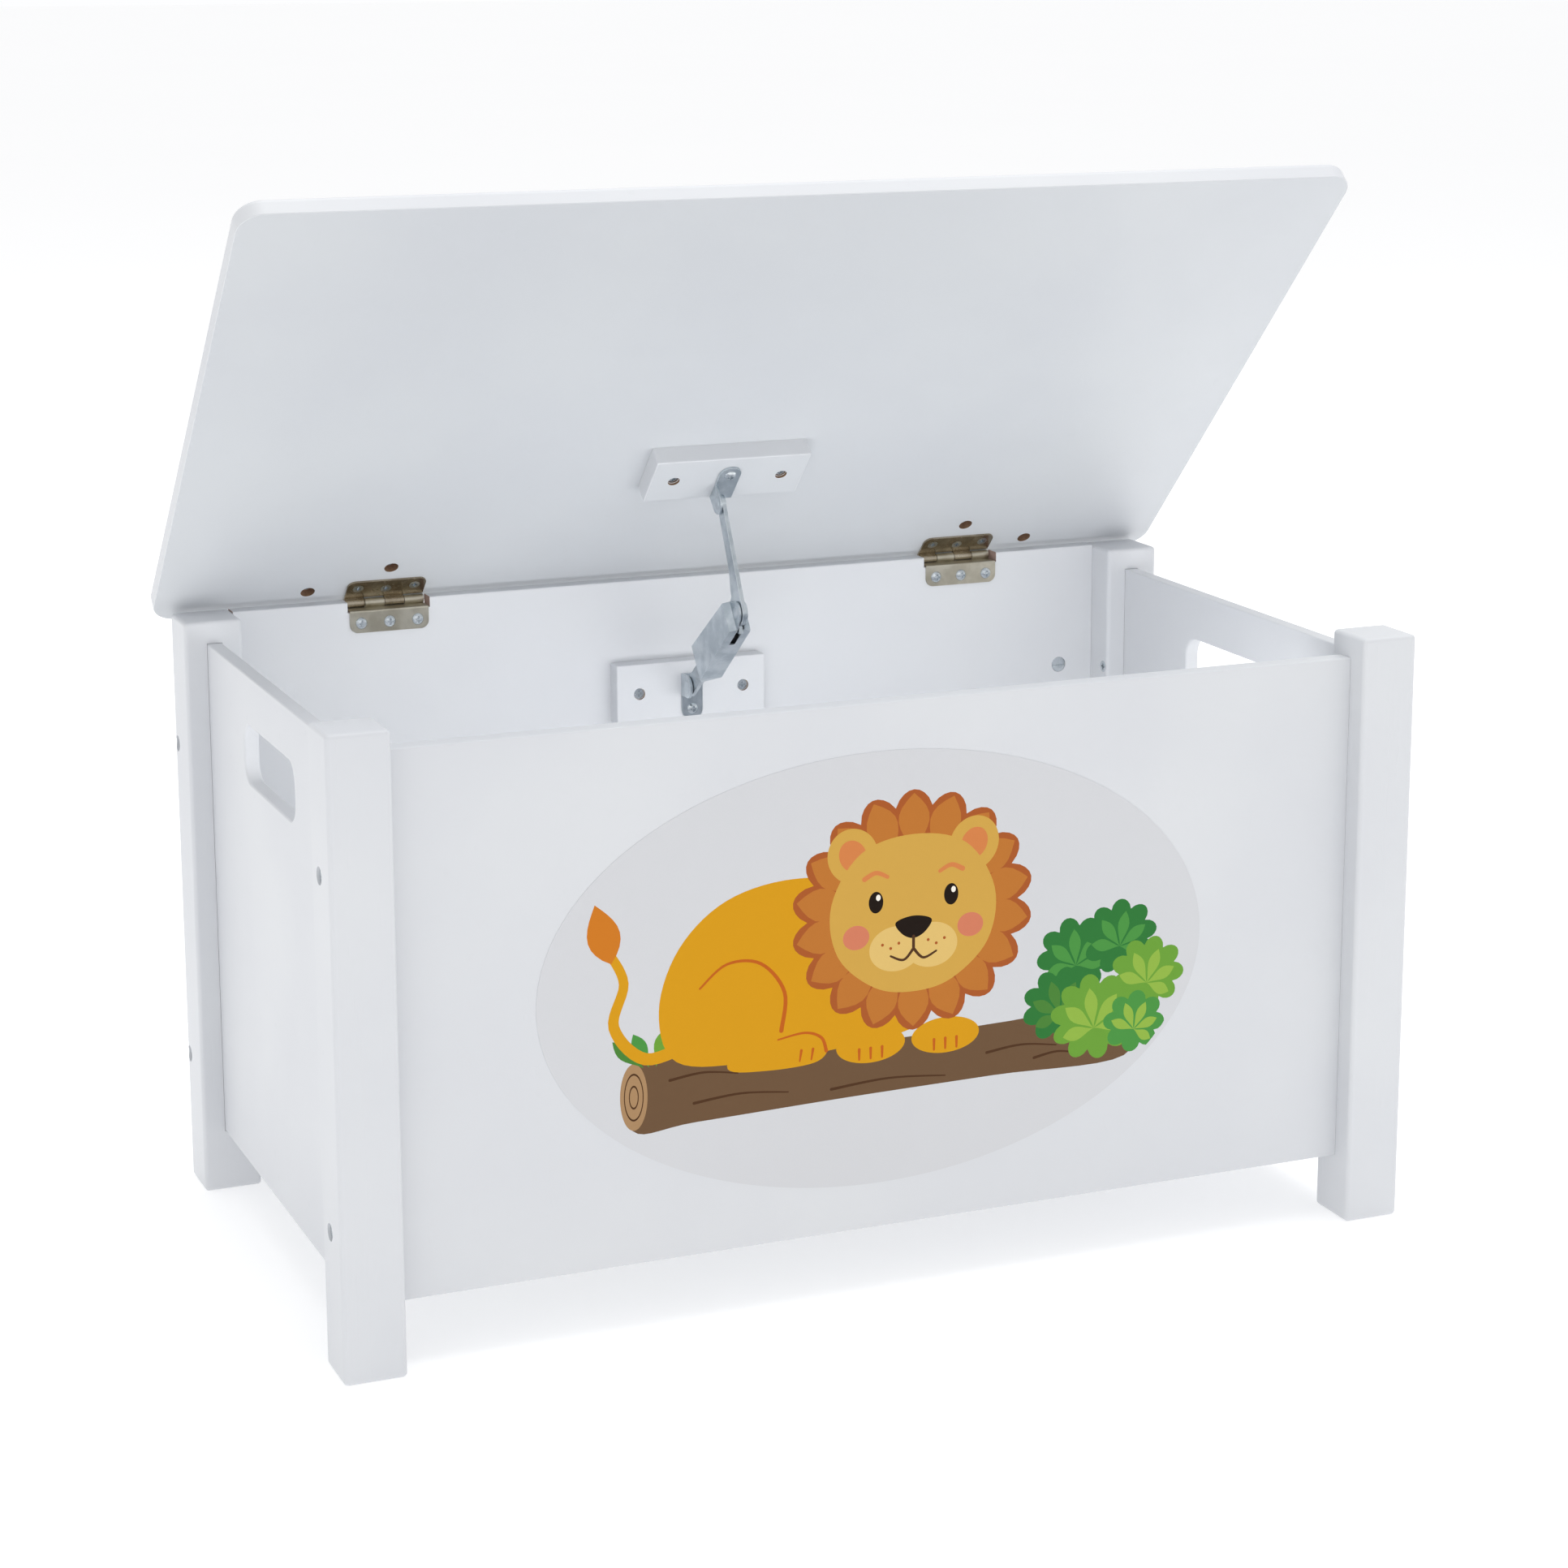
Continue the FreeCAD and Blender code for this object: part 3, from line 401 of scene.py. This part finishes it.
def eased(name, width, surface, rim=None, inner=None, is_inner=None, segments=3, merge=True):
    """A copy of a CAD piece with rounded edges. width is in millimetres. Faces where
    is_inner(centre, normal) holds take the inner material, and the rounds take the rim material."""
    skin = welded(nodes[name].data, merge)
    if is_inner:
        for face in skin.faces:
            face.material_index = 2 if is_inner(face.calc_center_median(), face.normal) else 0
    mesh = bpy.data.meshes.new(name + "_eased")
    skin.to_mesh(mesh)
    skin.free()
    for material in (surface, rim or surface, inner or surface):
        mesh.materials.append(material)
    mesh.shade_smooth()
    piece = bpy.data.objects.new(name + "_eased", mesh)
    bpy.context.scene.collection.objects.link(piece)
    round_over = piece.modifiers.new("eased", "BEVEL")
    round_over.width, round_over.segments = width * MM, segments
    round_over.limit_method, round_over.angle_limit = "ANGLE", SHARP_TURN
    round_over.material = 1
    flats = piece.modifiers.new("flat_faces", "WEIGHTED_NORMAL")
    flats.mode, flats.weight, flats.keep_sharp = "FACE_AREA", 100, False
    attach(piece, body_of[name])
    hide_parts(name)
    return piece


# %% [markdown]
# ## Boards, posts and blocks
# The boards show brown wherever a drill or a cutter went in after painting: in the countersinks of
# the lid and of the two stay blocks, and on the end walls of the hinge notches. The blocks are
# small offcuts, cut and painted in a hurry, so their edges are chipped down to pale wood.

# %% Board faces that stay bare
lid_swing = math.radians(joints["lid_hinge"]["range_deg"][1])
hinge_axis = Vector(joints["lid_hinge"]["pos_m"])
shut = Matrix.Rotation(lid_swing, 4, "X")
SKIN, NOTCH_REACH = 0.3 * MM, 12 * MM
LID_MARGIN, BLOCK_MARGIN = 10 * MM, 4 * MM
FACING = 0.9


def when_shut(point):
    """Where a point of the open lid goes when the lid is shut."""
    return shut @ (point - hinge_axis) + hinge_axis


def drilled(low, high, margin, place=lambda point: point, thin=2):
    """Tells the walls and floors of holes: faces well inside a board's outline, between its sides."""
    wide = [axis for axis in range(3) if axis != thin]

    def inside(centre, _normal):
        at = place(centre)
        clear = all(low[axis] + margin < at[axis] < high[axis] - margin for axis in wide)
        deep = low[thin] + SKIN < at[thin] < high[thin] - SKIN
        return clear and deep

    return inside


def shut_box(name):
    points = [when_shut(vertex.co) for vertex in nodes[name].data.vertices]
    low = Vector([min(point[axis] for point in points) for axis in range(3)])
    return low, Vector([max(point[axis] for point in points) for axis in range(3)])


notch_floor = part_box("left_hinge_box_leaf")[1].z - NOTCH_REACH
board_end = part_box("post_rear_right")[0].x


def notch_wall(centre, normal):
    """The two end walls of each hinge notch in the back board's top edge."""
    return abs(normal.x) > FACING and abs(centre.x) < board_end and centre.z > notch_floor


def paint_shade_underneath(piece):
    """Paints shade into the side that looks down when the lid is shut: a greyer copy of the same white paint."""
    piece.data.materials.append(underside_shade_paint)
    down = shut.to_3x3().inverted() @ Vector((0, 0, -1))
    for face in piece.data.polygons:
        if face.material_index == 0 and face.normal.dot(down) > FACING:
            face.material_index = len(piece.data.materials) - 1


# %% Ease and paint the wood
for name in ("post_front_left", "post_front_right", "post_rear_left", "post_rear_right"):
    eased(name, 0.5, post_paint)
for name in ("left_side_panel", "right_side_panel"):
    eased(name, 0.9, side_paint, edge_paint)
eased("front_panel", 0.9, board_paint, edge_paint)
eased("back_panel", 0.7, board_paint, edge_paint, pale_fibre, notch_wall, merge=False)
eased("base_board", 0.4, board_paint, edge_paint)
lid_board = eased("lid", 0.8, board_paint, edge_paint, bare_fibre,
                  drilled(*shut_box("lid"), LID_MARGIN, when_shut))
eased("stay_lower_block", 0.7, block_paint, chipped_paint, bare_fibre,
      drilled(*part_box("stay_lower_block"), BLOCK_MARGIN, thin=1))
upper_block = eased("stay_upper_block", 0.7, block_paint, chipped_paint, bare_fibre,
                    drilled(*shut_box("stay_upper_block"), BLOCK_MARGIN, when_shut))
# The lid's underside and the upper block's down faces take the greyer paint as painted shade.
paint_shade_underneath(lid_board)
paint_shade_underneath(upper_block)
print("boards eased")

# %% Ease and plate the metal
# The box leaves take the paler painted-lit nickel, and the lid leaves and pins the darker painted-shade nickel.
for name in ("left_hinge_box_leaf", "right_hinge_box_leaf"):
    eased(name, 0.18, painted_lit_nickel, segments=2)
for name in ("left_hinge_lid_leaf", "right_hinge_lid_leaf", "left_hinge_pin", "right_hinge_pin"):
    eased(name, 0.18, nickel, segments=2)
for name in ("stay_housing", "stay_arm", "stay_lower_bracket", "stay_upper_bracket"):
    eased(name, 0.22, zinc, bright_zinc, segments=2)
for name in ("stay_lower_rivet", "stay_upper_rivet", "stay_knee_rivet"):
    eased(name, 0.3, zinc, bright_zinc, segments=2)
for name in ("panel_bolts", "barrel_nuts", "side_panel_screws", "lid_rear_screws", "hinge_box_screws",
             "hinge_lid_screws", "lower_block_screws", "upper_block_screws", "lower_bracket_screw",
             "upper_bracket_screw"):
    eased(name, 0.12, bright_zinc, segments=2)
eased("stay_brake_shoe", 0.3, nylon, segments=2)
nodes["stay_spring"].data.materials.clear()
nodes["stay_spring"].data.materials.append(wire)
print("metal eased")

# %% [markdown]
# ## The picture on the front
# The front carries a printed film: a big soft oval with a nursery scene in flat colours. It could
# be an image, but an image has a fixed number of dots. Here each shape is an outline worked out
# from a few sizes, the outlines are laid over each other like cut paper, and a triangulation cuts
# the film along all of them at once. Each small triangle then takes the colour of the topmost
# sheet over it, so the print is one closed skin with perfectly sharp borders.
# The scene is our own: a lion cub, awake, lying on a log beside a bush.

# %% Outlines in millimetres from the oval's middle


def oval(x, y, wide, high=None, lean=0.0, count=56):
    """An oval by its half sizes, leaning by some degrees."""
    high = high or wide
    spin = Matrix.Rotation(math.radians(lean), 2)
    angles = [math.tau * step / count for step in range(count)]
    return [Vector((x, y)) + spin @ Vector((math.cos(a) * wide, math.sin(a) * high)) for a in angles]


def scallops(x, y, reach, bumps, depth, squeeze=1.0, lean=0.0, fine=8):
    """A round edge of even outward bumps, such as a mane or a leafy clump."""
    points = []
    for step in range(bumps * fine):
        angle = math.tau * step / (bumps * fine)
        radius = reach * (1 - depth + depth * abs(math.sin(angle * bumps / 2)) ** 0.8)
        angle += math.radians(lean)
        points.append(Vector((x + radius * math.cos(angle), y + radius * math.sin(angle) * squeeze)))
    return points


def through(points, closed=True, fine=7):
    """A smooth line through a few given points."""
    points = [Vector(point) for point in points]
    count = len(points)
    line = []
    for index in range(count if closed else count - 1):
        picks = [index - 1, index, index + 1, index + 2]
        a, b, c, d = (points[p % count if closed else min(max(p, 0), count - 1)] for p in picks)
        for step in range(fine):
            t = step / fine
            line.append(b + (c - a) * t / 2 + (a - b * 2.5 + c * 2 - d / 2) * t * t
                        + (b * 1.5 - a / 2 - c * 1.5 + d / 2) * t ** 3)
    return line if closed else line + [points[-1]]


def brush(points, width, tip=None):
    """A brush line through points, round at both ends; its width goes from width to tip."""
    line = through(points, closed=False)
    tip = width if tip is None else tip
    left, right = [], []
    for index, point in enumerate(line):
        ahead = line[min(index + 1, len(line) - 1)] - line[max(index - 1, 0)]
        side = Vector((-ahead.y, ahead.x)).normalized()
        half = (width + (tip - width) * index / (len(line) - 1)) / 2
        left.append(point + side * half)
        right.append(point - side * half)
    outline = []
    for start, centre, finish in ((left[-1], line[-1], right[-1]), (right[0], line[0], left[0])):
        outline += left if not outline else right[::-1]
        for step in range(1, 6):
            outline.append(centre + Matrix.Rotation(-math.pi * step / 6, 2) @ (start - centre))
    return outline


def leaf(base, tip, width, belly=0.5, count=9):
    """A leaf or petal between two points, with its widest place at belly of its length."""
    base, tip = Vector(base), Vector(tip)
    along = tip - base
    side = Vector((-along.y, along.x)).normalized() * width / 2
    power = math.log(0.5) / math.log(belly)
    steps = [step / count for step in range(count + 1)]
    swell = [math.sin(math.pi * t ** power) for t in steps]
    upper = [base + along * t + side * s for t, s in zip(steps, swell)]
    lower = [base + along * t - side * s for t, s in zip(steps, swell)]
    return upper + lower[-2:0:-1]


# %% Colours of the print
INK = {"film": "#D2D3D6", "gold": "#D49814", "gold_line": "#BE5E18", "tuft": "#CC7820",
       "mane": "#BC7430", "mane_dark": "#A85828", "face": "#CEA24A", "muzzle": "#DDBB70",
       "ear": "#D28048", "cheek": "#D07C5E", "black": "#1A0E06", "shine": "#F2EDE2",
       "bark": "#6C523A", "bark_line": "#4E321C", "cut": "#A98660", "green_1": "#2E7636",
       "green_2": "#4A9242", "green_3": "#6A9E38", "green_4": "#90B446", "green_5": "#4A8236"}


# %% The log and the bush, furthest back first
sheets = []


def lay(ink, outline):
    """Lays one more paper shape on the pile."""
    sheets.append((ink, outline))


def lay_log(y=-55.0, half=19.0, left=-148.0, right=150.0):
    top, bottom = y + half, y - half
    upper = [(left, top), (-100, top + 1), (-10, top - 5), (80, top - 4), (right, top - 2)]
    lower = [(right + 4, bottom + 4), (70, bottom + 3), (-20, bottom + 2), (-110, bottom), (left, bottom)]
    lay("bark", through(upper + lower))
    for x, rise, length in ((-126, 7, 40), (-112, -8, 56), (-30, -11, 70), (66, -2, 44), (96, -9, 30)):
        crack = [(x, y + rise), (x + length / 2, y + rise + 2), (x + length, y + rise - 1)]
        lay("bark_line", brush(crack, 1.7, 0.8))
    rings = ((0.42, 1.0), (0.30, 0.72), (0.27, 0.66), (0.15, 0.36), (0.12, 0.30))
    for number, (wide, high) in enumerate(rings):
        lay("bark_line" if number % 2 else "cut", oval(left + 1, y, half * wide, half * high))
    for base_x, lean, ink in ((-138, -9, "green_2"), (-134, 6, "green_3"), (-141, -18, "green_5")):
        tip = (base_x + lean, top + 20 - abs(lean) / 3)
        lay(ink, leaf((base_x, top - 3), tip, 9, belly=0.6))


def lay_clump(x, y, reach, bumps, dark, light, lean=0.0):
    """One leafy clump: a scalloped round with a fan of leaves on it."""
    lay(dark, scallops(x, y, reach, bumps, 0.24, squeeze=0.92, lean=lean))
    for spoke in range(5):
        angle = math.radians(lean + 90 + (spoke - 2) * 52)
        tip = (x + reach * 0.76 * math.cos(angle), y - reach * 0.1 + reach * 0.72 * math.sin(angle))
        lay(light, leaf((x, y - reach * 0.25), tip, reach * 0.30, belly=0.62))


def lay_bush():
    lay_clump(122, -6, 25, 9, "green_1", "green_2", 4)
    lay_clump(150, 2, 24, 9, "green_1", "green_2", -12)
    lay_clump(112, -34, 24, 9, "green_1", "green_5", 18)
    lay_clump(168, -22, 24, 9, "green_3", "green_4", -24)
    lay_clump(134, -44, 28, 10, "green_3", "green_4", 8)
    lay_clump(160, -50, 20, 8, "green_2", "green_4", -30)


# %% The cub, from tail to whiskers


def lay_body():
    lay("gold", brush([(-112, -28), (-140, -34), (-158, -14), (-152, 10), (-160, 28)], 7.5, 5.0))
    lay("tuft", leaf((-159, 22), (-168, 56), 19, belly=0.45))
    lay("gold", through([(-122, -38), (-132, -8), (-120, 26), (-92, 50), (-52, 58), (-10, 50), (26, 20),
                         (30, -30), (-20, -42), (-80, -44)]))
    lay("gold_line", brush([(-108, 2), (-92, 14), (-72, 12), (-58, -6), (-60, -28)], 1.2, 2.6))
    lay("gold", through([(-82, -30), (-60, -34), (-40, -33), (-32, -41), (-40, -49), (-70, -50),
                         (-92, -46)]))
    lay("gold_line", brush([(-62, -33), (-46, -31), (-36, -35), (-33, -43)], 1.0, 2.2))
    for x in (-48, -41):
        lay("gold_line", brush([(x, -41), (x - 1, -47)], 1.7, 1.0))


def lay_paws():
    for x in (-6, 40):
        lay("gold", oval(x, -43, 21, 10.5))
        for toe in (-7, 0, 7):
            lay("gold_line", brush([(x + toe, -45), (x + toe, -51)], 1.8, 1.2))


def lay_head(x=20.0, y=32.0, reach=74.0):
    lay("mane_dark", scallops(x, y, reach, 18, 0.13, squeeze=0.94))
    middle = Vector((x, y))
    for tuft in range(18):
        angle = math.tau * (tuft + 0.5) / 18
        way = Vector((math.cos(angle), math.sin(angle) * 0.94))
        lay("mane", leaf(middle + way * reach * 0.45, middle + way * reach * 0.97, 19, belly=0.60))
    for side in (-1, 1):
        lay("face", oval(x + side * 37, y + 35, 15, 16, lean=-side * 30))
        lay("ear", oval(x + side * 37, y + 35, 8, 9.5, lean=-side * 30))
    lay("face", through([(x, y + 44), (x + 32, y + 36), (x + 50, y + 8), (x + 46, y - 22),
                         (x + 24, y - 42), (x, y - 47), (x - 24, y - 42), (x - 46, y - 22),
                         (x - 50, y + 8), (x - 32, y + 36)]))
    lay("muzzle", oval(x - 11, y - 21, 16, 13))
    lay("muzzle", oval(x + 11, y - 21, 16, 13))
    lay("black", through([(x - 11, y - 6), (x, y - 3), (x + 11, y - 6), (x + 7, y - 13),
                          (x, y - 16), (x - 7, y - 13)]))
    lay("bark_line", brush([(x, y - 15), (x, y - 22)], 1.8))
    for side in (-1, 1):
        lay("bark_line", brush([(x, y - 22), (x + side * 6, y - 28), (x + side * 14, y - 25)], 1.8, 1.2))
        lay("black", oval(x + side * 23, y + 7, 4.4, 6.2))
        lay("shine", oval(x + side * 23 + 1.4, y + 9.6, 1.4, 1.8, count=20))
        brow = [(x + side * 16, y + 21), (x + side * 23, y + 24), (x + side * 30, y + 21)]
        lay("ear", brush(brow, 2.2, 3.0))
        lay("cheek", oval(x + side * 35, y - 12, 8.0, 7.0))
        for dot in range(3):
            lay("mane_dark", oval(x + side * (9 + 5 * dot), y - 18 - 2.5 * (dot % 2), 0.9, count=12))


# %% Cut the film along every outline
film_low, film_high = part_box("front_picture")
film_middle = (film_low + film_high) / 2
half_wide, half_high = (film_high.x - film_low.x) / 2 / MM, (film_high.z - film_low.z) / 2 / MM
FILM_RIM = 0.985

lay("film", oval(0, 0, half_wide, half_high, count=160))
lay_log()
lay_body()
lay_paws()
lay_head()
lay_bush()


def inward(outline):
    """Keeps a shape on the film: points beyond its border are pulled just inside it."""
    kept = []
    for point in outline:
        spread = math.hypot(point.x / half_wide, point.y / half_high)
        kept.append(point * (FILM_RIM / spread) if spread > FILM_RIM else point)
    return kept


def cut_paper(pile):
    """Triangles of the whole pile, each with the ink of the topmost sheet that covers it."""
    points, faces = [], []
    for number, (ink, outline) in enumerate(pile):
        outline = inward(outline) if number else outline
        area = sum(a.x * b.y - b.x * a.y for a, b in zip(outline, outline[1:] + outline[:1]))
        outline = outline if area > 0 else outline[::-1]
        faces.append(list(range(len(points), len(points) + len(outline))))
        points += outline
    corners, _, triangles, _, _, covers = geometry.delaunay_2d_cdt(points, [], faces, 1, 0.01)
    kept = [(tri, pile[max(cover)][0]) for tri, cover in zip(triangles, covers) if cover]
    return corners, kept


corners, cut = cut_paper(sheets)
print(f"{len(sheets)} paper shapes cut into {len(cut)} triangles")

# %% Make the print one thin closed skin


def print_finish():
    """Matt ink under a clear satin film, with the faint grain of the printer."""
    finish = Finish("printed_film")
    ink = finish.node("Attribute", {"attribute_name": "ink"})
    grain = finish.speckle(1500.0, detail=1.0)
    drift = finish.speckle(9.0, detail=2.0)
    bright = finish.node("HueSaturation", {}, {"Value": 0.96 + grain * 0.04 + drift * 0.04, "Color": ink})
    return finish.done(bright, 0.42 + drift * 0.08, grain * 0.004 + drift * 0.01, ior=1.2)


def printed_film():
    skin = bmesh.new()
    colour = skin.loops.layers.float_color.new("ink")
    middle = Vector((film_middle.x, film_low.y, film_middle.z))
    places = [skin.verts.new(middle + Vector((point.x, 0, point.y)) * MM) for point in corners]
    for triangle, ink in cut:
        face = skin.faces.new([places[index] for index in triangle])
        for loop in face.loops:
            loop[colour] = tone(INK[ink])
    backs = bmesh.ops.extrude_face_region(skin, geom=skin.faces[:])["geom"]
    moved = [item for item in backs if isinstance(item, bmesh.types.BMVert)]
    bmesh.ops.translate(skin, verts=moved, vec=(0, film_high.y - film_low.y, 0))
    bmesh.ops.recalc_face_normals(skin, faces=skin.faces)
    mesh = bpy.data.meshes.new("printed_picture")
    skin.to_mesh(mesh)
    skin.free()
    mesh.materials.append(print_finish())
    piece = bpy.data.objects.new("printed_picture", mesh)
    bpy.context.scene.collection.objects.link(piece)
    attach(piece, body_of["front_picture"])
    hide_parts("front_picture")
    return piece


picture = printed_film()
print("picture faces:", len(picture.data.polygons))
